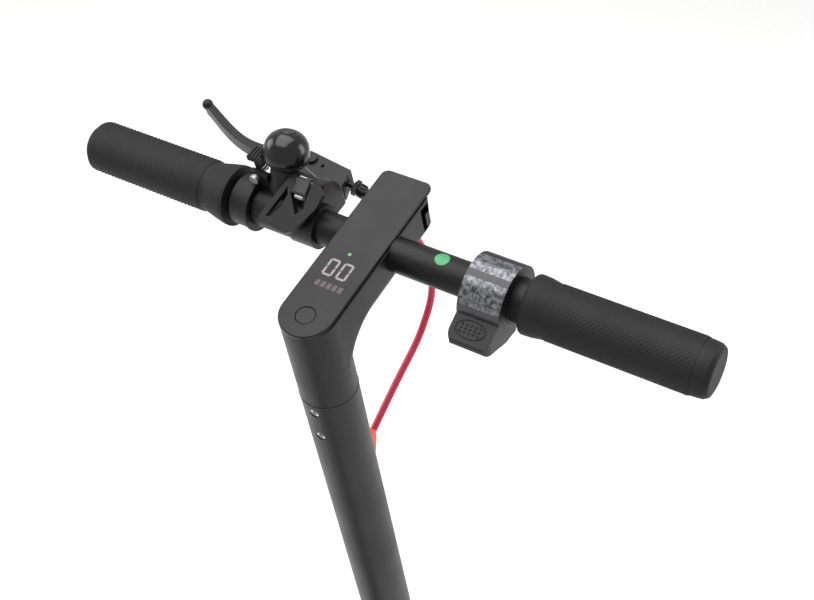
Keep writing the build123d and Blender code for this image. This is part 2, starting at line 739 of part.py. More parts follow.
def fold_base():
    """Block on top of the steerer, with the two rear ears of the folding hinge."""
    low, high = fold_base_span
    x, z = hinge_pin
    base = rod_z(fold_block_radius, low, high)
    base = fillet(base.edges().sort_by(Axis.Z)[0], 3)
    base -= rod_y(knuckle_radius + 0.6, -knuckle_half_width - 0.3, knuckle_half_width + 0.3, x, z)
    base -= block(x - 12, x + 6.6, -knuckle_half_width - 0.3, knuckle_half_width + 0.3, z, high + 1)
    for side in (-1, 1):
        y0, y1 = sorted((side * ear_y[0], side * ear_y[1]))
        base += rod_y(knuckle_radius, y0, y1, x, z)
        base += block(x - knuckle_radius, x + 8, y0, y1, z - 22, z)
    for side in (-1, 1):
        y0, y1 = sorted((side * 9.5, side * 14.5))
        px, pz = fold_lever_pivot
        base += block(fold_block_radius - 6, px, y0, y1, pz - 6, pz + 6) + rod_y(6, y0, y1, px, pz)
    base -= rod_z(steerer_radius, low - 1, low + 20)
    base -= rod_z(steerer_radius - 3, low - 1, high + 1)
    base -= rod_y(hinge_pin_radius, -40, 40, x, z)
    return steer * (base - rod_y(3, -40, 40, *fold_lever_pivot))


def fold_pins():
    """Hinge pin of the folding joint and pin of its latch lever."""
    x, z = hinge_pin
    hinge = rod_y(hinge_pin_radius, -ear_y[1] - 1, ear_y[1] + 1, x, z)
    hinge += rod_y(6, ear_y[1], ear_y[1] + 2.5, x, z) + rod_y(6, -ear_y[1] - 2.5, -ear_y[1], x, z)
    latch = rod_y(3, -15, 15, *fold_lever_pivot)
    latch += rod_y(4.5, 14.5, 16.5, *fold_lever_pivot) + rod_y(4.5, -16.5, -14.5, *fold_lever_pivot)
    return steer * Compound(children=[hinge, latch])


def stem_foot():
    """Casting around the stem's lower end, with the hinge's middle knuckle at the rear."""
    x, z = hinge_pin
    low = fold_base_span[1] + 0.3
    profile = [
        (0, low), (fold_block_radius, low), (fold_block_radius, low + 34), (stem_radius + 1.6, foot_top - 3),
        (stem_radius + 0.6, foot_top), (0, foot_top),
    ]
    face = make_face(Plane.XZ * Polyline(*profile, close=True))
    foot = revolve(face, Axis.Z)
    for side in (-1, 1):
        y0, y1 = sorted((side * (ear_y[0] - 0.3), side * (ear_y[1] + 0.4)))
        foot -= rod_y(knuckle_radius + 0.6, y0, y1, x, z)
    foot += rod_y(knuckle_radius, -knuckle_half_width, knuckle_half_width, x, z)
    foot += block(x - knuckle_radius, x + 6, -knuckle_half_width, knuckle_half_width, z, z + 20)
    foot -= rod_z(11, low - 1, low + 20)
    foot -= rod_y(hinge_pin_radius + bearing_fit, -20, 20, x, z)
    keeper = block(fold_block_radius - 8, fold_lever_pivot[0] - 4.6, -8, 8, low + 16, low + 30)
    return steer * (foot + keeper - rod_z(stem_radius, low + 14, foot_top + 1) + catch_rail())


catch_span = (fold_lever_top + 2.0, fold_lever_top + 18.0)
catch_travel = 8.0


def catch_rail():
    """Flat rail on the foot's front that the safety catch slides on."""
    rail = block(stem_radius - 4, fold_lever_pivot[0] - 1, -4, 4, fold_lever_top + 3, foot_top)
    return rail - rod_z(stem_radius, 0, foot_top + 50)


def fold_lever():
    """Latch lever up the front of the folding joint."""
    x, z = fold_lever_pivot
    lever = block(x - 3.5, x + 3.5, -9, 9, z, fold_lever_top)
    lever += rod_y(6.2, -9, 9, x, z)
    tip = [(x + 3.4, z + 40), (x + 3.4, fold_lever_top), (x + 9, fold_lever_top), (x + 8, fold_lever_top - 8)]
    lever += polygon(tip, -9, 9)
    lever -= block(x + 1.5, x + 5, -5.5, 5.5, z + 12, z + 46)
    return steer * (lever - rod_y(3 + bearing_fit, -10, 10, x, z))


def safety_catch():
    """Sliding tab that drops in front of the lever's tip."""
    x = fold_lever_pivot[0]
    low, high = catch_span
    shoulder = low + catch_travel - 1.4
    tab = block(x - 0.6, x + 12.6, -8, 8, shoulder, high)
    tab += block(x + 9.8, x + 12.6, -8, 8, low - 1, high)
    for side in (-1, 1):
        y0, y1 = sorted((side * 4.3, side * 8))
        tab += block(x - 6.5, x, y0, y1, shoulder, high)
    return steer * tab


# ---- stem --------------------------------------------------------------------------------
screw_drops = (66.6, 91.0)   # below the stem and panel crossing
grommet_drop = 150.0
screw_radius = 3.3


def stem_tube():
    low = fold_base_span[1] + 14.3
    tube = rod_z(stem_radius, low, seam) - rod_z(stem_radius - stem_wall, low - 1, seam + 1)
    for drop in screw_drops:
        tube -= Pos(-stem_radius, 0, stem_length - drop) * Rot(0, 90, 0) * Cylinder(screw_radius, 12)
    tube -= Pos(stem_radius, 0, stem_length - grommet_drop) * Rot(0, 90, 0) * Cylinder(4.5, 12)
    return steer * tube


def joint_screws():
    """Socket screws through the tube's rear into the head's spigot."""
    screws = []
    for drop in screw_drops:
        screw = Pos(-stem_radius + 3.2, 0, stem_length - drop) * Rot(0, 90, 0) * Cylinder(screw_radius, 5)
        key = extrude(RegularPolygon(1.8, 6), 1.5, both=True)
        screws.append(steer * (screw - Pos(-stem_radius + 0.7, 0, stem_length - drop) * Rot(0, 90, 0) * key))
    return Compound(children=screws)


def cable_grommet():
    """Soft wedge that leads the brake cable into the stem's front."""
    z = stem_length - grommet_drop
    wedge_body = polygon(
        [(stem_radius - 4, z - 14), (stem_radius + 3, z - 15), (stem_radius + 8.5, z + 1),
         (stem_radius + 9, z + 9),
         (stem_radius + 3.5, z + 10), (stem_radius - 4, z + 4)],
        -4.2, 4.2,
    )
    wedge_body = wedge_body - rod_z(stem_radius, z - 40, z + 40)
    plug = Pos(stem_radius - 1, 0, z) * Rot(0, 90, 0) * Cylinder(4.5, 6)
    body = wedge_body + (plug & rod_z(stem_radius + 0.5, z - 20, z + 20))
    return steer * (body - steer_cable_bore(z))


def steer_cable_bore(z):
    end = front_cable_route()[-1]
    before = front_cable_route()[-2]
    direction = Vector(*end) - Vector(*before)
    bore = Plane(origin=end, z_dir=direction) * Cylinder(cable_radius, 60)
    return steer.location.inverse() * bore


# ---- head with the dash ------------------------------------------------------------------
def head_outline():
    """Side outline of the head's arm, with the curve that runs down into the stem."""
    return [
        Line((-arm_back, 0, casting_top), (45.6, 0, casting_top)),
        Line((45.6, 0, casting_top), (43.6, 0, -13.0)),
        ThreePointArc((43.6, 0, -13.0), (41.6, 0, -17.2), (37.5, 0, arm_bottom)),
        Line((37.5, 0, arm_bottom), (-31.0, 0, arm_bottom)),
        ThreePointArc((-31.0, 0, arm_bottom), (-51.0, 0, -27.5), (-60.0, 0, -52.0)),
        Line((-60.0, 0, -52.0), (-arm_back, 0, -52.0)),
        Line((-arm_back, 0, -52.0), (-arm_back, 0, casting_top)),
    ]


def panel_outline(grow, z0, z1):
    """Plan of the dash panel, larger all round by grow."""
    half = panel_width / 2 + grow
    front = panel_front + grow
    shape = block(panel_rear_centre, front, -half, half, z0, z1)
    front_edges = shape.edges().filter_by(Axis.Z).group_by(Axis.X)[-1]
    shape = fillet(front_edges, 5 + grow)
    return shape + rod_z(half, z0, z1, panel_rear_centre)


arm_rounding = 9.0           # corners of the curve under the arm


def stem_head():
    """Cast head: sleeve on the stem, arm over the handlebar, nose with the headlamp."""
    arm = slab(head_outline(), -stem_radius, stem_radius)
    curve = [e for e in arm.edges().filter_by(GeomType.CIRCLE) if e.center().X < -31]
    arm = fillet(curve, arm_rounding)
    rounding = block(-90, 46.5, -stem_radius, stem_radius, -70, 20)
    nose_edges = rounding.edges().filter_by(Axis.Z).group_by(Axis.X)[-1]
    arm = arm & fillet(nose_edges, 5.5)
    sleeve = stem_in_cockpit * rod_z(stem_radius, -seam_drop, 40) & block(-120, 0, -30, 30, -90, casting_top)
    spigot = stem_in_cockpit * rod_z(stem_radius - stem_wall, -seam_drop - 45, -seam_drop + 1)
    head = arm + sleeve + spigot
    head -= stem_in_cockpit * rod_z(12.5, -seam_drop - 46, -8)
    for drop in screw_drops:
        head -= stem_in_cockpit * (Pos(-stem_radius, 0, -drop) * Rot(0, 90, 0) * Cylinder(screw_radius, 11.4))
    head -= panel_outline(-3.6, -6, casting_top + 1) & block(-60, 30, -20, 20, -4, 20)
    head -= rod_y(bar_radius, -30, 30)
    head -= lamp_recess()
    return cockpit * head


lamp_window = (30.0, 39.0, -12.2, 7.6)


def lamp_recess():
    """Lamp pocket in the nose and its side windows."""
    x0, x1, z0, z1 = lamp_window
    pocket = block(24, 60, -13, 13, -14, 7)
    return pocket + block(x0, x1, -30, 30, z0, z1)


def headlight_body():
    shell = block(24, 41, -13, 13, -14, 7) - block(26, 50, -11, 11, -12, 5)
    x0, x1, z0, z1 = lamp_window
    for side in (-1, 1):
        y0, y1 = sorted((side * 12.9, side * (stem_radius - 0.6)))
        shell += block(x0 + 4.6, x1, y0, y1, z0, z1 - 8.5)
    return cockpit * shell


def headlight_lens():
    lens = block(41, 45.5, -13, 13, -14, 7)
    lens = lens & slab(head_outline(), -20, 20)
    return cockpit * lens


def dash_cover():
    """Dark dash panel over the head's arm, with the button's hole."""
    panel = panel_outline(0, casting_top, panel_top)
    panel = fillet(panel.edges().group_by(Axis.Z)[-1], 0.8)
    hole = rod_z(button_radius + slip, 0, 30, button_x)
    return cockpit * (panel - hole - rod_y(bar_radius, -30, 30))


def dash_board():
    """Display board under the dash panel."""
    board = block(-58, -bar_radius - 1, -13, 13, casting_top - 3, casting_top)
    return cockpit * board


def power_button():
    button = rod_z(button_radius, casting_top + button_travel + 0.2, panel_top - 0.1, button_x)
    return cockpit * chamfer(button.edges().sort_by(Axis.Z)[-1], 0.4)


# ---- handlebar and grips -----------------------------------------------------------------
bar_end = handlebar_length / 2
grip_end_wall = 3.0


def handlebar():
    reach = bar_end - grip_end_wall
    tube = tube_y(bar_radius, bar_radius - bar_wall, -reach, reach)
    return cockpit * tube


def grip_left():
    start = grip_left_start
    end = bar_end
    profile = [
        (bar_radius, start), (20.0, start), (20.0, start + 3), (18.8, start + 9), (grip_radius, start + 18),
        (grip_radius, end - 12), (16.0, end - 7.5), (14.0, end - 4), (11.0, end - 1.6), (7.0, end - 0.4),
        (0, end),
        (0, end - grip_end_wall), (bar_radius, end - grip_end_wall),
    ]
    return cockpit * lathe_y(profile)


def grip_right():
    start = grip_right_start
    end = -bar_end
    profile = [
        (bar_radius, start), (18.0, start), (18.5, start - 1), (18.2, start - 7), (grip_radius, start - 16),
        (grip_radius, end + 8), (16.2, end + 3), (14.6, end + 0.5), (13.0, end), (0, end),
        (0, end + grip_end_wall), (bar_radius, end + grip_end_wall),
    ]
    return cockpit * lathe_y(profile)


def bar_spacer():
    """Smooth sleeve between the left grip and the bell."""
    profile = [
        (bar_radius, spacer_span[0]), (17.8, spacer_span[0]),
        (17.8, spacer_span[0] + 1.6), (17.0, spacer_span[0] + 2.4),
        (16.7, spacer_span[1] - 1), (16.0, spacer_span[1]), (bar_radius, spacer_span[1]),
    ]
    return cockpit * lathe_y(profile)


# ---- throttle ----------------------------------------------------------------------------
paddle_face_angle = 173.0
paddle_foot_angle = 254.0


def throttle_ring(bore, angle0, angle1, y0, y1):
    """Part of the throttle's ring, which sits a little off the handlebar's axis."""
    ring = rod_y(throttle_radius, y0, y1, *throttle_middle) - rod_y(bore, y0 - 1, y1 + 1)
    return ring & wedge(angle0, angle1, throttle_radius * 1.4, y0 - 1, y1 + 1)


def throttle_housing():
    """Ring clamped on the handlebar, open below for the paddle's swing, with its neck."""
    y0, y1 = throttle_span
    opening = paddle_foot_angle + paddle_travel + 1.5 - 360
    closed = throttle_ring(throttle_bore - 1, opening, paddle_face_angle, y0, y1)
    hub = tube_y(throttle_bore, bar_radius, y0, y1)
    neck_tube = tube_y(13.6, bar_radius, grip_right_start, y0 + 1)
    return cockpit * (closed + hub + neck_tube)


def throttle_paddle():
    """Thumb paddle that turns on the throttle's hub."""
    y0 = throttle_span[0] + 0.2
    y1 = throttle_span[1] - 0.2
    ring = throttle_ring(throttle_bore + slip, paddle_face_angle + 1, paddle_foot_angle, y0, y1)
    start = radians(paddle_face_angle + 1)
    reach = throttle_radius - throttle_middle[0]
    face = (reach * cos(start), reach * sin(start))
    tip = (face[0] - 15.0, face[1] - 5.4)
    outline = [
        Line((face[0] + 6, 0, face[1] - 1), (face[0], 0, face[1])),
        Line((face[0], 0, face[1]), (tip[0], 0, tip[1])),
        ThreePointArc((tip[0], 0, tip[1]), (tip[0] + 0.2, 0, tip[1] - 5.6), (tip[0] + 5, 0, tip[1] - 8.6)),
        Line((tip[0] + 5, 0, tip[1] - 8.6), (-18.0, 0, -20.0)),
        Line((-18.0, 0, -20.0), (-7.0, 0, -22.0)),
        Line((-7.0, 0, -22.0), (-10.0, 0, -14.0)),
        Line((-10.0, 0, -14.0), (face[0] + 6, 0, face[1] - 1)),
    ]
    pad = slab(outline, y0, y1)
    plan = block(tip[0] - 3, 30, y0, y1, -60, 60)
    plan = fillet(plan.edges().filter_by(Axis.Z).group_by(Axis.X)[0], 9)
    pad = (pad & plan) - rod_y(throttle_bore + slip, y0 - 1, y1 + 1)
    return cockpit * (ring + pad)


# ---- brake lever -------------------------------------------------------------------------
perch_half = 7.0
adjuster_start = Vector(41.5, 45.0, -5.0)
adjuster_axis = Vector(-0.02, -0.95, -0.31)
adjuster_length = 15.0


def lever_bracket():
    """Clamp on the handlebar with the perch that holds the lever, and the lever's pivot pin."""
    y0, y1 = brake_clamp_span
    clamp = rod_y(brake_clamp_radius, y0, y1) + rod_y(17.5, y0 + 5.5, y0 + 12.5, 11.5, 4.0)
    low = lever_plane - perch_half
    high = lever_plane + perch_half
    arm = plate([(10, y0 + 6), (10, y1), (34, y1), (40, y0 + 11), (30, y0 + 6)], low, high)
    perch = plate(
        [(33, y0 + 7), (40, y0 + 9), (46.2, y0 + 9), (50.6, lever_pivot[1] + 4), (47, lever_pivot[1] + 9),
         (40, lever_pivot[1] + 7), (33.5, y1 + 11), (32, y1)],
        low, high,
    )
    perch = fillet(perch.edges().filter_by(Axis.Z).group_by(Axis.Y)[-1], 4)
    slot_half = lever_thickness / 2 + 0.4
    slot_plan = [(20, 56), (60, 56), (70, 60), (70, 130), (20, 130)]
    slot = plate(slot_plan, lever_plane - slot_half, lever_plane + slot_half)
    body = clamp + arm + perch - slot
    body -= rod_y(bar_radius, 0, 100)
    body -= Pos(*lever_pivot, lever_plane) * Cylinder(lever_pin_radius, 60)
    body -= Plane(origin=adjuster_start, z_dir=adjuster_axis) * Cylinder(2.0, 40)
    x, y = lever_pivot
    pin = rod_z(lever_pin_radius, lever_plane - perch_half, lever_plane + perch_half, x, y)
    pin += rod_z(4.2, lever_plane + perch_half, lever_plane + perch_half + 1.8, x, y)
    return cockpit * Compound(children=[body, pin])


def brake_lever():
    """Curved blade with a raised ball end."""
    x, y = lever_pivot
    half = lever_thickness / 2
    inner = [(38.5, 80.0), (37.5, 100.0), (39.0, 124.0), (46.0, 146.0), (55.5, 165.0), (60.0, 174.0)]
    outer = [(64.5, 171.5), (60.5, 163.0), (51.5, 144.0), (44.8, 124.0), (45.5, 100.0), (50.5, 77.0)]
    sides = [
        Spline(*inner), Line(inner[-1], outer[0]), Spline(*outer),
        Line(outer[-1], (50.0, 66.0)), Line((50.0, 66.0), (44.5, 62.5)), Line((44.5, 62.5), (38.5, 66.0)),
        Line((38.5, 66.0), inner[0]),
    ]
    face = make_face(sides)
    blade = extrude(Pos(0, 0, lever_plane - half) * face, amount=2 * half, dir=(0, 0, 1))
    tall = extrude(Pos(0, 0, lever_plane - 4.2) * face, amount=9.4, dir=(0, 0, 1))
    blade += tall & block(0, 100, y + 18, 200, -40, 40)
    ball = Pos(61.2, 171.6, lever_plane + 4.4) * Sphere(3.8)
    return cockpit * (blade + ball - Pos(x, y, lever_plane) * Cylinder(lever_pin_radius + bearing_fit, 40))


def cable_adjuster():
    """Ribbed barrel and lock nut where the cable meets the perch."""
    frame = Plane(origin=adjuster_start, z_dir=adjuster_axis)
    barrel = frame * rod_z(3.6, 5.4, adjuster_length)
    nut = frame * (rod_z(5.4, 5.6, 8.6) & extrude(RegularPolygon(5.4, 6), 12))
    for i in range(8):
        rib = Rot(0, 0, 45 * i) * block(3.2, 4.6, -0.8, 0.8, 9.4, adjuster_length - 1.6)
        barrel += frame * rib
    bore = frame * rod_z(cable_radius, 9, 60)
    return cockpit * (barrel + nut + frame * rod_z(2.0, 0, 6) - bore)


def front_cable_route():
    """Cable from the lever's barrel, down in front of the nose and back into the stem."""
    start = adjuster_start + adjuster_axis * 9.5
    stem_entry = steer.from_local_coords(Vector(stem_radius + 1.0, 0, stem_length - grommet_drop - 1))
    places = [
        start,
        adjuster_start + adjuster_axis * 23.5,
        Vector(43.5, 15.5, -27.0),
        Vector(47.5, 6.0, -41.0),
        Vector(46.8, -2.5, -58.0),
        Vector(45.5, -5.5, -76.0),
        Vector(39.0, -5.5, -98.0),
        Vector(19.0, -4.5, -117.0),
        Vector(-12.0, -2.0, -131.5),
    ]
    route = [tuple(cockpit.from_local_coords(p)) for p in places]
    return route + [tuple(stem_entry)]


def brake_cable():
    return cable_along(front_cable_route(), cable_radius, "brake cable")


# ---- bell and folding hook ---------------------------------------------------------------
bell_frame = Plane(
    origin=(0, bell_y, 0), x_dir=(sin(radians(bell_angle)), 0, -cos(radians(bell_angle))),
    z_dir=(cos(radians(bell_angle)), 0, sin(radians(bell_angle))),
)
hook_facing = radians(118)       # outward direction of the flat loop, in X and Z
hook_face = 20.6                 # outer face of the loop from the handlebar axis
hook_thickness = 3.2
hook_pin_rise = 20.6             # pin's distance up the loop from where that direction meets it
hook_pin_radius = 1.5
hook_pin_span = (37.5, 59.5)
hook_block_span = (43.2, 53.6)
striker_pivot = (82.5, 22.5)     # in Y and Z
striker_x = (7.0, 15.0)


hook_frame = Plane(
    origin=(0, 0, 0),
    x_dir=(sin(hook_facing), 0, -cos(hook_facing)),
    z_dir=(cos(hook_facing), 0, sin(hook_facing)),
)


def bell_clamp():
    """Clamp on the handlebar that carries the bell, its striker and the folding hook."""
    y0, y1 = bell_clamp_span
    body = rod_y(bell_clamp_radius, y0, y1)
    body += bell_frame * rod_z(8.0, 8, bell_centre - bell_skirt - 1)
    block_low = plate([(hook_pin_rise, hook_block_span[0]), (hook_pin_rise, hook_block_span[1]),
                       (11.5, hook_block_span[1]), (11.5, hook_block_span[0])], 6, hook_face + 0.6)
    pin_depth = hook_face - hook_thickness / 2
    knuckle = rod_y(2.2, *hook_block_span, hook_pin_rise, pin_depth)
    body += hook_frame * (block_low + knuckle)
    lug_y, lug_z = striker_pivot
    body += block(striker_x[0] - 4, striker_x[0] - 0.4, y1 - 8, lug_y + 4, 10, lug_z + 4)
    body -= rod_y(bar_radius, 0, 120)
    body -= block(-30, 10, y1, 100, -20, 18.2)
    brake_end = brake_clamp_span[1] + slip
    body -= rod_y(brake_clamp_radius + slip, 0, brake_end) + rod_y(17.5 + slip, 0, brake_end, 11.5, 4.0)
    body -= hook_frame * rod_y(hook_pin_radius, 30, 80, hook_pin_rise, pin_depth)
    body -= Pos(striker_x[0] - 2, *striker_pivot) * Rot(0, 90, 0) * Cylinder(1.6, 8)
    return cockpit * body


def bell_dome():
    """Spun metal dome, with the round cap and screw that hold it on its post."""
    dome = Sphere(bell_radius) - Sphere(bell_radius - 1.2)
    dome = dome & rod_z(bell_radius + 1, 0, bell_radius + 1)
    dome += rod_z(bell_radius, -bell_skirt, 0) - rod_z(bell_radius - 1.2, -bell_skirt - 1, 1)
    dome -= rod_z(2.0, 0, 20)
    cap = rod_z(4.6, bell_radius - 0.9, bell_radius + 0.2) - Sphere(bell_radius)
    cap += rod_z(2.0, -bell_skirt - 1, bell_radius)
    return cockpit * (bell_frame * (Pos(0, 0, bell_centre) * Compound(children=[dome, cap])))


def bell_pins():
    """Pivot screw of the striker and hinge pin of the hook."""
    y, z = striker_pivot
    pin = Pos(striker_x[0] + 1.5, y, z) * Rot(0, 90, 0) * Cylinder(1.6, 18)
    head = Pos(striker_x[0] - 5.8, y, z) * Rot(0, 90, 0) * Cylinder(3.2, 3)
    screw = head + (pin & block(striker_x[0] - 4, striker_x[1] + 1.5, 0, 200, 0, 60))
    pin_depth = hook_face - hook_thickness / 2
    hook_pin = hook_frame * rod_y(hook_pin_radius, *hook_pin_span, hook_pin_rise, pin_depth)
    return cockpit * Compound(children=[screw, hook_pin])


def bell_striker():
    """Ribbed thumb lever with the hammer that taps the dome."""
    y, z = striker_pivot
    x0, x1 = striker_x
    lever = block(x0, x1, y - 2.2, y + 2.2, z - 2, z + 12)
    lever += Pos((x0 + x1) / 2, y, z) * Rot(0, 90, 0) * Cylinder(3.6, x1 - x0)
    pad = block(x0 - 1, x1 + 0.6, y - 8.5, y + 6, z + 10, z + 13.6)
    for i in range(6):
        pad += block(x0 - 1, x1 + 0.6, y - 7.6 + 2.3 * i, y - 6.6 + 2.3 * i, z + 13, z + 14.4)
    lever += pad
    pivot_bore = Pos((x0 + x1) / 2, y, z) * Rot(0, 90, 0) * Cylinder(1.6 + bearing_fit, 30)
    dome_room = bell_frame * (Pos(0, 0, bell_centre - 12) * Cylinder(bell_radius + 0.8, 40))
    return cockpit * (lever - pivot_bore - dome_room)


def hook_loop():
    """Flat shield-shaped loop that catches on the rear fender when the scooter is folded."""
    outside = [(25.2, 57.0), (19.0, 60.0), (-9.0, 69.0), (-12.2, 65.7), (-13.6, 48.0), (-11.5, 43.5),
               (-2.5, 38.0), (7.0, 33.5), (16.0, 32.5), (22.5, 36.5), (25.2, 42.0)]
    slit = [(14.5, 58.0), (11.5, 58.4), (-7.8, 64.4), (-6.8, 61.2), (1.0, 56.9), (9.5, 55.6)]
    window = [(23.4, hook_block_span[1] + 0.6), (11.0, hook_block_span[1] + 0.6), (-0.7, 45.6), (4.0, 41.5),
              (12.0, hook_block_span[0] - 0.6), (23.4, hook_block_span[0] - 0.6)]
    inner_face = hook_face - hook_thickness
    loop = plate(outside, inner_face, hook_face)
    loop -= plate(slit, inner_face - 1, hook_face + 1) + plate(window, inner_face - 1, hook_face + 1)
    loop = fillet(loop.edges().filter_by(Axis.Z).group_by(Axis.X)[0], 2)
    bore = rod_y(hook_pin_radius + bearing_fit, 30, 80, hook_pin_rise, hook_face - hook_thickness / 2)
    return cockpit * (hook_frame * (loop - bore))


# ---- every piece, each in its own file ---------------------------------------------------
pieces = [
    deck_frame, deck_bottom_cover, foot_mat, battery_pack, controller_box, charge_port, charge_cap,
    kickstand_bracket, kickstand, rear_axle, rear_axle_caps, rear_bearings, rear_rim, rear_tyre, brake_disc,
    brake_caliper, caliper_arm, rear_cable, rear_fender, fender_hook, tail_light_lens,
    motor_hub_shell, motor_side_cover, motor_bearings, motor_stator, front_axle, front_axle_caps, front_tyre,
    fork, front_fender, headset_cups, fold_base, fold_pins, fold_lever, safety_catch,
    stem_foot, stem_tube, joint_screws, cable_grommet, stem_head, headlight_body, headlight_lens, dash_cover,
    dash_board, power_button, handlebar, grip_left, grip_right, bar_spacer, throttle_housing, throttle_paddle,
    lever_bracket, brake_lever, cable_adjuster, brake_cable, bell_clamp, bell_dome, bell_pins, bell_striker,
    hook_loop,
]
os.makedirs("parts", exist_ok=True)
for piece in pieces:
    export_step(piece(), f"parts/{piece.__name__}.step")
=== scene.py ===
# Electric kick scooter: the looks of every piece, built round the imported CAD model.
# Metres, +X forward, +Y to the rider's left, +Z up, origin on the ground.
import json
from math import atan2, degrees, pi, radians, sqrt

import bpy
from mathutils import Matrix, Vector


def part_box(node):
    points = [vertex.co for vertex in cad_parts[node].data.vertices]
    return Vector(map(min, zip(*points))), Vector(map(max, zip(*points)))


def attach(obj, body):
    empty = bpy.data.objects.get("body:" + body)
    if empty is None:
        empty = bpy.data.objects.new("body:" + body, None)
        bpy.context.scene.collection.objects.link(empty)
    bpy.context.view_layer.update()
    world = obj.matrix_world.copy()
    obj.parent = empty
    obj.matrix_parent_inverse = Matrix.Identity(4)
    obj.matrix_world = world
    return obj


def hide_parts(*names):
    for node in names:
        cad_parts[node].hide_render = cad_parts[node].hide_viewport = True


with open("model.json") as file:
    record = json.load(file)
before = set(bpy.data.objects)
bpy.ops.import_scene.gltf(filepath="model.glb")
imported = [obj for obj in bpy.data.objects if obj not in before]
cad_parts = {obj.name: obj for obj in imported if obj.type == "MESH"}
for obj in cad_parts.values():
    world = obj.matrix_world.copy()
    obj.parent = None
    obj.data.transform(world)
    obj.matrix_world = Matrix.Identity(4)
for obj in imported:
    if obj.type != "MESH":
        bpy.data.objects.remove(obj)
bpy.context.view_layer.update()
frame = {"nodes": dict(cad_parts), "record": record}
mm = 0.001

# ---- Studio --------------------------------------------------------------------------------
# A pale paper sweep, a large soft light overhead and two soft boxes beside the rider.
# The camera looks down on the handlebar from behind the right grip.
low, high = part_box("handlebar")
bar_middle = (low + high) / 2


def srgb(code):
    """Turns an sRGB hex colour into linear red, green, blue and alpha."""
    shares = [int(code[i:i + 2], 16) / 255 for i in (0, 2, 4)]
    return [s / 12.92 if s <= 0.04045 else ((s + 0.055) / 1.055) ** 2.4 for s in shares] + [1.0]


def add_node(tree, kind, sockets={}, **settings):
    """Adds one shader node, with its settings, and its inputs set to values or linked to sockets."""
    made = tree.nodes.new(kind)
    for name, value in settings.items():
        setattr(made, name, value)
    for name, value in sockets.items():
        if isinstance(value, bpy.types.NodeSocket):
            tree.links.new(value, made.inputs[name])
        else:
            made.inputs[name].default_value = value
    return made


def new_finish(name, **sockets):
    """Material with one Principled shader: gives it, its tree, its shader and Object coordinates."""
    material = bpy.data.materials.new(name)
    material.use_nodes = True
    tree = material.node_tree
    shader = tree.nodes["Principled BSDF"]
    for socket, value in sockets.items():
        shader.inputs[socket.replace("_", " ")].default_value = value
    place = add_node(tree, "ShaderNodeTexCoord").outputs["Object"]
    return material, tree, shader, place


paper, tree, shader, place = new_finish("matt_paper", Base_Color=srgb("F7F7F6"), Roughness=0.9)
fibres = add_node(tree, "ShaderNodeTexNoise", {"Vector": place, "Scale": 60.0, "Detail": 3.0})
mix_share, mix_first, mix_second, mix_colour = 0, 6, 7, 2      # the Mix node's sockets for colours
pale = add_node(
    tree, "ShaderNodeMix",
    {mix_share: fibres.outputs["Fac"], mix_first: srgb("F4F4F3"), mix_second: srgb("FAFAF9")}, data_type="RGBA",
)
tree.links.new(pale.outputs[mix_colour], shader.inputs["Base Color"])

bpy.ops.mesh.primitive_plane_add(size=14)
floor = bpy.context.object
floor.name = "floor"
floor.data.materials.append(paper)

world = bpy.data.worlds.new("studio")
world.use_nodes = True
bpy.context.scene.world = world
world.node_tree.nodes["Background"].inputs["Color"].default_value = srgb("FFFFFF")
world.node_tree.nodes["Background"].inputs["Strength"].default_value = 0.75
bpy.context.scene.view_settings.view_transform = "Standard"


def soft_box(name, at, aim, size, power):
    """Rectangular area light at a place, turned to a point, with its size in metres and power in watts."""
    light = bpy.data.lights.new(name, "AREA")
    light.shape = "RECTANGLE"
    light.size, light.size_y = size
    light.energy = power
    holder = bpy.data.objects.new(name, light)
    holder.location = at
    holder.rotation_euler = (Vector(aim) - Vector(at)).to_track_quat("-Z", "Y").to_euler()
    bpy.context.scene.collection.objects.link(holder)


soft_box("overhead_light", (0.1, 0.3, 2.9), (0.1, 0, 0.5), (2.6, 2.0), 62)
soft_box("left_light", (-0.3, 2.4, 1.9), tuple(bar_middle), (1.4, 1.4), 26)
soft_box("right_light", (1.6, -1.9, 1.4), tuple(bar_middle), (1.0, 1.6), 22)

camera_from_bar = Vector((-526.0, -352.3, 459.2)) * mm
camera_aim = Vector((0.66548, 0.41316, -0.62164))
camera = bpy.data.cameras.new("camera")
camera.lens = 56.79
camera.sensor_width = 36.0
camera.clip_start = 0.02
viewer = bpy.data.objects.new("camera", camera)
viewer.location = bar_middle + camera_from_bar
viewer.rotation_euler = camera_aim.to_track_quat("-Z", "Y").to_euler()
bpy.context.scene.collection.objects.link(viewer)
bpy.context.scene.camera = viewer

# ---- Finishes ------------------------------------------------------------------------------
# Powder-coated aluminium: a matt epoxy skin with a fine orange-peel grain of about half a millimetre.
# It covers the deck, the fork and the stem, and its thickness rounds their edges. A low IOR keeps the
# black coat from greying under the white studio, and uneven gloss shows that it has been handled.
edge_round = 0.35 * mm


def soften(tree, shader, place, grain, depth):
    """Fine surface grain of a size in millimetres, over edges rounded as the coat rounds them."""
    speckle = add_node(tree, "ShaderNodeTexNoise", {"Vector": place, "Scale": 1 / (grain * mm), "Detail": 2.0})
    edge = add_node(tree, "ShaderNodeBevel", {"Radius": edge_round}, samples=4)
    bump = add_node(
        tree, "ShaderNodeBump",
        {"Height": speckle.outputs["Fac"], "Normal": edge.outputs["Normal"], "Distance": depth * mm,
         "Strength": 0.6},
    )
    tree.links.new(bump.outputs["Normal"], shader.inputs["Normal"])


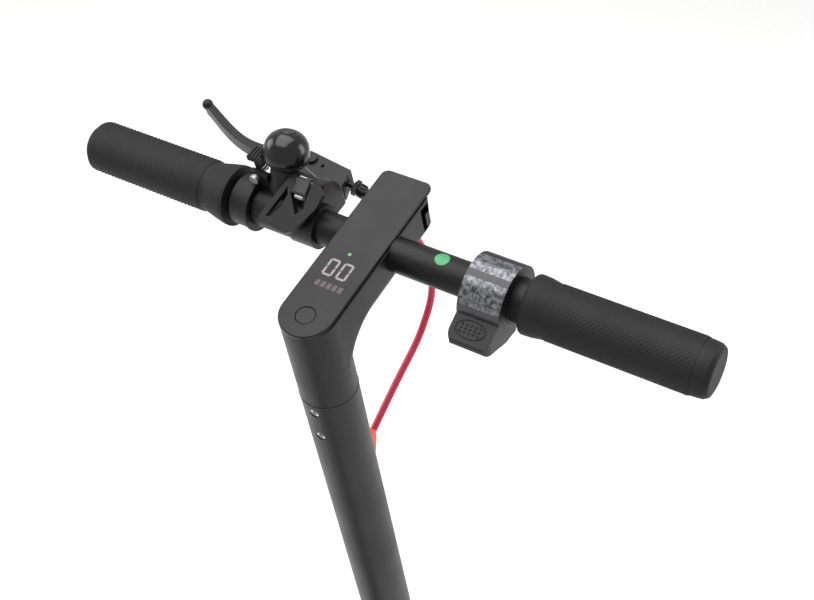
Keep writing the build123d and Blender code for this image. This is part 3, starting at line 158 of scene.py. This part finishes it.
def worn(tree, shader, place, size, low_rough, high_rough):
    """Uneven gloss, as handling leaves it, in patches of a size in millimetres."""
    patch = add_node(tree, "ShaderNodeTexNoise", {"Vector": place, "Scale": 1 / (size * mm), "Detail": 4.0})
    spread = add_node(
        tree, "ShaderNodeMapRange",
        {"Value": patch.outputs["Fac"], "From Min": 0.3, "From Max": 0.7,
         "To Min": low_rough, "To Max": high_rough},
    )
    tree.links.new(spread.outputs["Result"], shader.inputs["Roughness"])


finishes = {}
coat_grain, coat_depth = 0.5, 0.012
powder_coats = {
    "deck_alloy": ("powder_coated_deck_alloy", "0A0A0B", 0.40, 0.50),
    "stem_paint": ("powder_coated_stem_alloy", "09090A", 0.38, 0.48),
    "cover_steel": ("painted_sheet_steel", "0C0C0D", 0.45, 0.58),
    "wheel_alloy": ("painted_cast_wheel_alloy", "141416", 0.38, 0.48),
    "brake_alloy": ("anodised_forged_alloy", "111113", 0.32, 0.42),
}
for slot_name, (name, code, low_rough, high_rough) in powder_coats.items():
    coat, tree, shader, place = new_finish(name, Base_Color=srgb(code), IOR=1.33)
    soften(tree, shader, place, coat_grain, coat_depth)
    worn(tree, shader, place, 45, low_rough, high_rough)
    finishes[slot_name] = coat

# Moulded rubber is matt and scatters the light, and ABS has a fine spark-etched grain.
# Each entry's last number is the size of its grain in millimetres.
mould_depth = 0.02
moulded = {
    "mat_rubber": ("moulded_mat_rubber", "121212", 0.74, 0.86, 0.8),
    "grip_rubber": ("moulded_grip_rubber", "0D0D0F", 0.58, 0.68, 0.7),
    "plug_rubber": ("moulded_plug_rubber", "161616", 0.7, 0.8, 0.7),
    "tyre": ("moulded_tyre_rubber", "151515", 0.72, 0.86, 0.9),
    "housing_plastic": ("spark_etched_abs", "0A0A0C", 0.40, 0.50, 0.4),
    "battery_wrap": ("heat_shrink_pvc", "2A6FB0", 0.30, 0.40, 1.2),
    "board": ("solder_masked_laminate", "14532D", 0.35, 0.45, 0.8),
}
for slot_name, (name, code, low_rough, high_rough, grain) in moulded.items():
    skin, tree, shader, place = new_finish(name, Base_Color=srgb(code), IOR=1.36)
    soften(tree, shader, place, grain, mould_depth)
    worn(tree, shader, place, 30, low_rough, high_rough)
    finishes[slot_name] = skin

# The display panel is smoked acrylic, and the bell is spun steel under a glossy black lacquer.
smooth_grain = 0.6
for slot_name, name, code, rough, coat_weight in (
    ("dash_plastic", "smoked_acrylic", "070708", 0.30, 0.0),
    ("bell_metal", "black_lacquered_steel", "0A0A0B", 0.2, 0.3),
):
    gloss, tree, shader, place = new_finish(
        name, Base_Color=srgb(code), IOR=1.33, Coat_Weight=coat_weight, Coat_Roughness=0.12
    )
    soften(tree, shader, place, smooth_grain, 0.004)
    worn(tree, shader, place, 25, rough - 0.04, rough + 0.06)
    finishes[slot_name] = gloss

# Bare metals keep the default IOR: zinc-plated screws, blackened steel pins and a ground brake disc.
for slot_name, name, code, low_rough, high_rough in (
    ("bright_steel", "zinc_plated_steel", "C4C4C6", 0.24, 0.36),
    ("dark_steel", "blackened_steel", "3C3C3F", 0.34, 0.46),
    ("disc_steel", "ground_stainless_steel", "B9B9BB", 0.26, 0.38),
):
    metal, tree, shader, place = new_finish(name, Base_Color=srgb(code), Metallic=1.0)
    soften(tree, shader, place, 0.4, 0.006)
    worn(tree, shader, place, 12, low_rough, high_rough)
    finishes[slot_name] = metal

# Coloured mouldings: the crimson cable jackets, the orange grommet, the amber cap faces and the lenses.
for slot_name, name, code, rough in (
    ("cable_red", "extruded_red_pvc", "AE1A3C", 0.34),
    ("grommet_orange", "moulded_orange_silicone", "E0491F", 0.5),
    ("cap_reflector", "amber_reflector_acrylic", "C8641A", 0.22),
    ("red_lens", "red_lamp_acrylic", "A30F16", 0.12),
):
    colour, tree, shader, place = new_finish(name, Base_Color=srgb(code), IOR=1.5)
    soften(tree, shader, place, smooth_grain, 0.006)
    worn(tree, shader, place, 15, rough - 0.04, rough + 0.06)
    finishes[slot_name] = colour
clear, tree, shader, place = new_finish(
    "clear_lamp_acrylic", Base_Color=srgb("F2F4F6"), Roughness=0.06, IOR=1.49, Transmission_Weight=1.0
)
finishes["clear_lens"] = clear

for part in frame["record"]["subparts"]:
    for holder in frame["nodes"][part["node"]].material_slots:
        holder.material = finishes[part["material_slot"]]

# ---- Cockpit frame ---------------------------------------------------------------------------
# The display, the bar's fittings and the bell are modelled in millimetres in the handlebar's own frame,
# which leans back with the display panel. Each finished piece is then moved to its place.
panel_tilt = radians(-16)
smooth_under = radians(35)
cockpit = Matrix.Translation(bar_middle) @ Matrix.Rotation(panel_tilt, 4, "Y") @ Matrix.Scale(mm, 4)


def seen(piece, name, body, material, where=cockpit):
    """Moves a piece to its place and applies that, then sets its material, body and slot."""
    piece.name = name
    piece.matrix_world = where @ piece.matrix_world
    bpy.ops.object.mode_set(mode="OBJECT")
    bpy.ops.object.select_all(action="DESELECT")
    piece.select_set(True)
    bpy.context.view_layer.objects.active = piece
    bpy.ops.object.transform_apply(location=True, rotation=True, scale=True)
    if not piece.data.materials:
        piece.data.materials.append(material)
    bpy.ops.object.shade_smooth_by_angle(angle=smooth_under)
    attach(piece, body)
    return piece


def rings(points, count):
    """Round piece about Z, left in edit mode: a circle extruded through (radius, height) points."""
    bpy.ops.object.select_all(action="DESELECT")
    bpy.ops.mesh.primitive_circle_add(vertices=count, radius=points[0][0], location=(0, 0, points[0][1]))
    bpy.ops.object.transform_apply(location=True)
    bpy.ops.object.mode_set(mode="EDIT")
    bpy.ops.mesh.select_all(action="SELECT")
    for (r0, z0), (r1, z1) in zip(points, points[1:]):
        bpy.ops.mesh.extrude_region_move(TRANSFORM_OT_translate={"value": (0, 0, z1 - z0)})
        bpy.ops.transform.resize(value=(r1 / r0, r1 / r0, 1), center_override=(0, 0, z1))
    return bpy.context.object


def close_up():
    """Merges the doubles of the piece in edit mode, turns its faces outward and leaves edit mode."""
    bpy.ops.mesh.select_all(action="SELECT")
    bpy.ops.mesh.remove_doubles(threshold=0.002)
    bpy.ops.mesh.normals_make_consistent(inside=False)
    bpy.ops.object.mode_set(mode="OBJECT")


def add_block(x0, x1, y0, y1, z0, z1, rounding=0.0):
    """Rectangular block between two corners, with its edges bevelled if a rounding is given."""
    bpy.ops.object.select_all(action="DESELECT")
    bpy.ops.mesh.primitive_cube_add(size=1, location=((x0 + x1) / 2, (y0 + y1) / 2, (z0 + z1) / 2))
    piece = bpy.context.object
    piece.scale = (x1 - x0, y1 - y0, z1 - z0)
    bpy.ops.object.transform_apply(location=True, rotation=True, scale=True)
    if rounding:
        bpy.ops.object.mode_set(mode="EDIT")
        bpy.ops.mesh.select_all(action="SELECT")
        bpy.ops.mesh.bevel(offset=rounding, segments=2, affect="EDGES")
        bpy.ops.object.mode_set(mode="OBJECT")
    return piece


def joined(pieces):
    """Several meshes as one piece."""
    bpy.ops.object.select_all(action="DESELECT")
    for piece in pieces:
        piece.select_set(True)
    bpy.context.view_layer.objects.active = pieces[0]
    bpy.ops.object.join()
    return bpy.context.object


# ---- Grip studs ------------------------------------------------------------------------------
# The soft rubber grips are moulded with a diamond lattice of low studs round their middles.
# Each sleeve lies over its grip as a fine ring of quads, and a staggered lattice of its corners is drawn
# out to studs: every second row and spoke, where their numbers add up to a multiple of four.
grid_step = 0.75
spokes = 144
sleeve_radius = 17.02
stud_height = 0.5
along_bar = Matrix.Rotation(radians(-90), 4, "X")
for name, y0, y1 in (("studs_left", 122, 215), ("studs_right", -212, -124)):
    rows = int((y1 - y0) / grid_step)
    sleeve = rings([(sleeve_radius, y0 + i * grid_step) for i in range(rows + 1)], spokes)
    bpy.ops.mesh.select_all(action="SELECT")
    bpy.ops.mesh.normals_make_consistent(inside=False)
    bpy.ops.mesh.select_all(action="DESELECT")
    bpy.ops.object.mode_set(mode="OBJECT")
    for corner in sleeve.data.vertices:
        row = round((corner.co.z - y0) / grid_step)
        spoke = round(atan2(corner.co.y, corner.co.x) / (2 * pi / spokes))
        corner.select = row % 2 == 0 and spoke % 2 == 0 and (row + spoke) % 4 == 0 and 0 < row < rows
    bpy.ops.object.mode_set(mode="EDIT")
    bpy.ops.transform.shrink_fatten(value=stud_height)
    bpy.ops.object.mode_set(mode="OBJECT")
    seen(sleeve, name, "stem", finishes["grip_rubber"], cockpit @ along_bar)

# ---- Bell --------------------------------------------------------------------------------------
# A spun steel dome on a black moulded base, held by a low ringed cap in its flattened crown.
# The dome leans back over the bar towards the rider's thumb.
bell_middle = (19.45, 67.0, 35.98)
bell_lean = radians(28.4)
bell_spot = Matrix.Translation(bell_middle) @ Matrix.Rotation(bell_lean, 4, "Y")
dome = rings(
    [(0.3, 11.4), (6.0, 11.2), (9.6, 9.2), (12.6, 5.2), (13.5, 0.0), (13.6, -5.2), (14.4, -5.4), (14.7, -4.8),
     (14.6, -1.0), (14.3, 2.6), (13.5, 5.7), (12.2, 8.2), (10.4, 10.3), (8.2, 11.9), (6.0, 12.8), (5.3, 13.0),
     (5.1, 12.5), (4.8, 12.5), (4.6, 13.2), (4.2, 13.5), (3.1, 13.5), (2.8, 13.1), (2.2, 13.1), (1.9, 13.4),
     (0.3, 13.4)],
    64,
)
close_up()
seen(dome, "bell_shell", "stem", finishes["bell_metal"], cockpit @ bell_spot)
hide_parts("bell_dome")

base = rings(
    [(0.3, -6.0), (11.6, -6.0), (12.3, -6.6), (12.3, -8.2), (10.4, -9.4), (9.2, -11.0), (9.0, -25.5),
     (0.3, -25.5)],
    48,
)
close_up()
seen(base, "bell_base", "stem", finishes["housing_plastic"], cockpit @ bell_spot)

# ---- Folding hook's carrier --------------------------------------------------------------------
# A worn black steel plate with a raised rim caps the block that carries the folding hook.
# A short coil spring below it stands for the one that holds the hook against the bar.
hook_facing = radians(-28)
hook_spot = Matrix.Rotation(hook_facing, 4, "Y")
plate_rim, plate_step, plate_sink = 0.55, 0.25, -0.3
plate = add_block(12.4, 22.2, 43.8, 53.0, 20.9, 21.7)
bpy.ops.object.mode_set(mode="EDIT")
bpy.ops.mesh.select_mode(type="FACE")
bpy.ops.mesh.select_all(action="DESELECT")
bpy.ops.object.mode_set(mode="OBJECT")
for face in plate.data.polygons:
    face.select = face.normal.z > 0.9
bpy.ops.object.mode_set(mode="EDIT")
bpy.ops.mesh.inset(thickness=plate_rim)
bpy.ops.mesh.inset(thickness=plate_step, depth=plate_sink)
bpy.ops.mesh.select_mode(type="VERT")
bpy.ops.object.mode_set(mode="OBJECT")
edge_steel, tree, shader, place = new_finish(
    "worn_black_steel", Base_Color=srgb("2E2E31"), Metallic=0.4, Roughness=0.35
)
soften(tree, shader, place, 0.5, 0.008)
seen(plate, "hook_carrier", "stem", edge_steel, cockpit @ hook_spot)

wire_radius, coil_radius, coil_pitch = 0.42, 1.5, 1.0
coils = []
for turn in range(6):
    bpy.ops.object.select_all(action="DESELECT")
    bpy.ops.mesh.primitive_torus_add(
        major_radius=coil_radius, minor_radius=wire_radius, major_segments=24, minor_segments=8,
        location=(10.6, 45.6 + coil_pitch * turn, 18.6), rotation=(radians(90), 0, 0),
    )
    coils.append(bpy.context.object)
seen(joined(coils), "hook_spring", "stem", finishes["bright_steel"], cockpit @ hook_spot)

# ---- Display -----------------------------------------------------------------------------------
# Two seven-segment figures and five charge bars glow faintly in the smoked acrylic panel, and are laid
# on its face so that they show. A green pilot lamp is ahead of them, and a ring seals the power button.
glass = 12.3
sunk = glass - 0.3
shown = glass + 0.12
segment_rounding = 0.1
lit, tree, shader, place = new_finish("lit_segments", Base_Color=srgb("80767A"), Roughness=0.4)
worn(tree, shader, place, 4, 0.35, 0.45)
dim, tree, shader, place = new_finish("dim_bars", Base_Color=srgb("3E2F35"), Roughness=0.4)
worn(tree, shader, place, 4, 0.35, 0.45)
lamp, tree, shader, place = new_finish(
    "green_lamp", Base_Color=srgb("2F8F4E"), Roughness=0.3,
    Emission_Color=srgb("3FBF68"), Emission_Strength=0.15,
)
seal, tree, shader, place = new_finish("black_silicone", Base_Color=srgb("0B0B0C"), Roughness=0.6)

stroke = 1.5
figure_length, figure_width = 13.0, 7.2
corner_gap, middle_gap = 0.9, 0.3
back = -39.0
front = back + figure_length
middle = (back + front) / 2
segments = []
for left_edge in (9.0, -0.6):
    right_edge = left_edge - figure_width
    for x0, x1, y0, y1 in (
        (front - stroke, front, right_edge + corner_gap, left_edge - corner_gap),
        (back, back + stroke, right_edge + corner_gap, left_edge - corner_gap),
        (back + corner_gap, middle - middle_gap, left_edge - stroke, left_edge),
        (middle + middle_gap, front - corner_gap, left_edge - stroke, left_edge),
        (back + corner_gap, middle - middle_gap, right_edge, right_edge + stroke),
        (middle + middle_gap, front - corner_gap, right_edge, right_edge + stroke),
    ):
        segments.append(add_block(x0, x1, y0, y1, sunk, shown, segment_rounding))
seen(joined(segments), "speed_figures", "stem", lit)

bar_pitch, bar_width = 4.0, 3.1
bars = []
for i in range(5):
    left_edge = 8.7 - bar_pitch * i
    bars.append(add_block(-47.5, -43.0, left_edge - bar_width, left_edge, sunk, shown, segment_rounding))
seen(joined(bars), "charge_bars", "stem", dim)

pilot_place = (-19.7, 0.5, 0)
pilot = rings([(0.05, sunk), (1.2, sunk), (1.2, glass + 0.1), (0.8, glass + 0.25), (0.05, glass + 0.3)], 24)
close_up()
seen(pilot, "pilot_lamp", "stem", lamp, cockpit @ Matrix.Translation(pilot_place))

button_place = (-68.8, 0, 0)
seal_inside, seal_outside = 6.35, 6.95
ring = rings(
    [(seal_inside, glass - 0.4), (seal_outside, glass - 0.4), (seal_outside, glass + 0.1), (6.8, glass + 0.2),
     (6.5, glass + 0.2), (seal_inside, glass + 0.1), (seal_inside, glass - 0.4)],
    64,
)
close_up()
seen(ring, "button_seal", "stem", seal, cockpit @ Matrix.Translation(button_place))

# ---- Throttle film -----------------------------------------------------------------------------
# A printed vinyl film is wrapped over the throttle's ring, mottled silver with one black stripe.
# Its lower end is plain, where the film has no print.
mottled, tree, shader, place = new_finish("mottled_silver_vinyl", Metallic=0.5, Roughness=0.22)
cells = add_node(
    tree, "ShaderNodeTexNoise", {"Vector": place, "Scale": 420.0, "Detail": 5.0, "Roughness": 0.65}
)
shades = add_node(tree, "ShaderNodeValToRGB", {"Fac": cells.outputs["Fac"]})
shades.color_ramp.elements[0].position = 0.38
shades.color_ramp.elements[0].color = srgb("2A2A2D")
shades.color_ramp.elements[1].position = 0.62
shades.color_ramp.elements[1].color = srgb("77787D")
tree.links.new(shades.outputs["Color"], shader.inputs["Base Color"])
striped, tree, shader, place = new_finish("black_vinyl", Base_Color=srgb("09090A"), Roughness=0.12)
plain, tree, shader, place = new_finish(
    "plain_grey_vinyl", Base_Color=srgb("3C3C40"), Metallic=0.4, Roughness=0.25
)

film_radius = 22.36
film_thickness = 0.12
film_from, stripe_from, stripe_to, plain_from, film_to = 62, 97, 109, 154, 171   # degrees above forward
film = rings([(film_radius, -101.2), (film_radius, -73.9)], 240)
bpy.ops.object.mode_set(mode="OBJECT")
for finish in (mottled, striped, plain):
    film.data.materials.append(finish)
for face in film.data.polygons:
    turn = degrees(atan2(-face.center.y, face.center.x))
    face.select = not film_from < turn < film_to
    face.material_index = 2 if turn > plain_from else 1 if stripe_from < turn < stripe_to else 0
bpy.ops.object.mode_set(mode="EDIT")
bpy.ops.mesh.select_mode(type="FACE")
bpy.ops.mesh.delete(type="FACE")
bpy.ops.mesh.select_mode(type="VERT")
bpy.ops.mesh.select_all(action="SELECT")
bpy.ops.mesh.normals_make_consistent(inside=False)
bpy.ops.object.mode_set(mode="OBJECT")
skin = film.modifiers.new("skin", "SOLIDIFY")
skin.thickness = film_thickness
skin.offset = 0.0
bpy.ops.object.modifier_apply(modifier="skin")
ring_middle = (-1.9, 0, -0.7)
ring_spot = Matrix.Translation(ring_middle) @ along_bar
seen(film, "throttle_film", "stem", mottled, cockpit @ ring_spot)

# ---- Paddle pad --------------------------------------------------------------------------------
# The ABS paddle's top is moulded with a raised oval outline round three rows of small dots, for grip.
pad_middle = (-31.0, -86.5, 0.1)
pad_slope = radians(-19.8)
dot_pitch_x, dot_pitch_y, dot_radius = 2.3, 2.9, 0.6
pad_spot = Matrix.Translation(pad_middle) @ Matrix.Rotation(pad_slope, 4, "Y")
bpy.ops.object.select_all(action="DESELECT")
bpy.ops.mesh.primitive_torus_add(major_radius=8.0, minor_radius=0.45, major_segments=64, minor_segments=10)
oval = bpy.context.object
oval.scale = (0.68, 1.18, 1.0)
bpy.ops.object.transform_apply(scale=True)
marks = [oval]
for row in range(-1, 2):
    for column in range(-2, 3):
        bpy.ops.object.select_all(action="DESELECT")
        bpy.ops.mesh.primitive_uv_sphere_add(
            segments=12, ring_count=6, radius=dot_radius, location=(row * dot_pitch_x, column * dot_pitch_y, 0)
        )
        marks.append(bpy.context.object)
pad = joined(marks)
seen(pad, "paddle_marks", "throttle_paddle", finishes["housing_plastic"], cockpit @ pad_spot)

# ---- Inspection sticker ------------------------------------------------------------------------
# A round green paper sticker, with nothing printed on it here, is pressed onto the bar beside the
# throttle and follows the bar's curve.
bar_skin = 11.2
paper_thickness = 0.1
sticker_ahead = 0.9
sticker = rings([(0.2, 0.0), (1.2, 0.0), (2.4, 0.0), (3.5, 0.0), (4.6, 0.0)], 40)
bpy.ops.object.mode_set(mode="OBJECT")
for corner in sticker.data.vertices:
    corner.co.z = sqrt(bar_skin ** 2 - (corner.co.x + sticker_ahead) ** 2)
paper_green, tree, shader, place = new_finish("green_coated_paper", Base_Color=srgb("2A8A4C"), Roughness=0.4)
backing = sticker.modifiers.new("backing", "SOLIDIFY")
backing.thickness = paper_thickness
backing.offset = 0.0
bpy.ops.object.modifier_apply(modifier="backing")
sticker_spot = Matrix.Translation((sticker_ahead, -51.5, 0))
seen(sticker, "green_sticker", "stem", paper_green, cockpit @ sticker_spot)

# ---- Stem seam ---------------------------------------------------------------------------------
# A black rubber washer shows as a thin dark line where the cast head meets the stem's tube.
# The stem leans a little from the panel's upright, and its axis passes behind the handlebar.
stem_back, stem_lean = -65.75, radians(3.5)
stem_spot = Matrix.Translation((stem_back, 0, 0)) @ Matrix.Rotation(stem_lean, 4, "Y")
washer = rings(
    [(18.2, -59.5), (18.95, -59.5), (19.05, -59.0), (18.95, -58.5), (18.2, -58.5), (18.2, -59.5)], 96
)
close_up()
seen(washer, "stem_washer", "stem", seal, cockpit @ stem_spot)
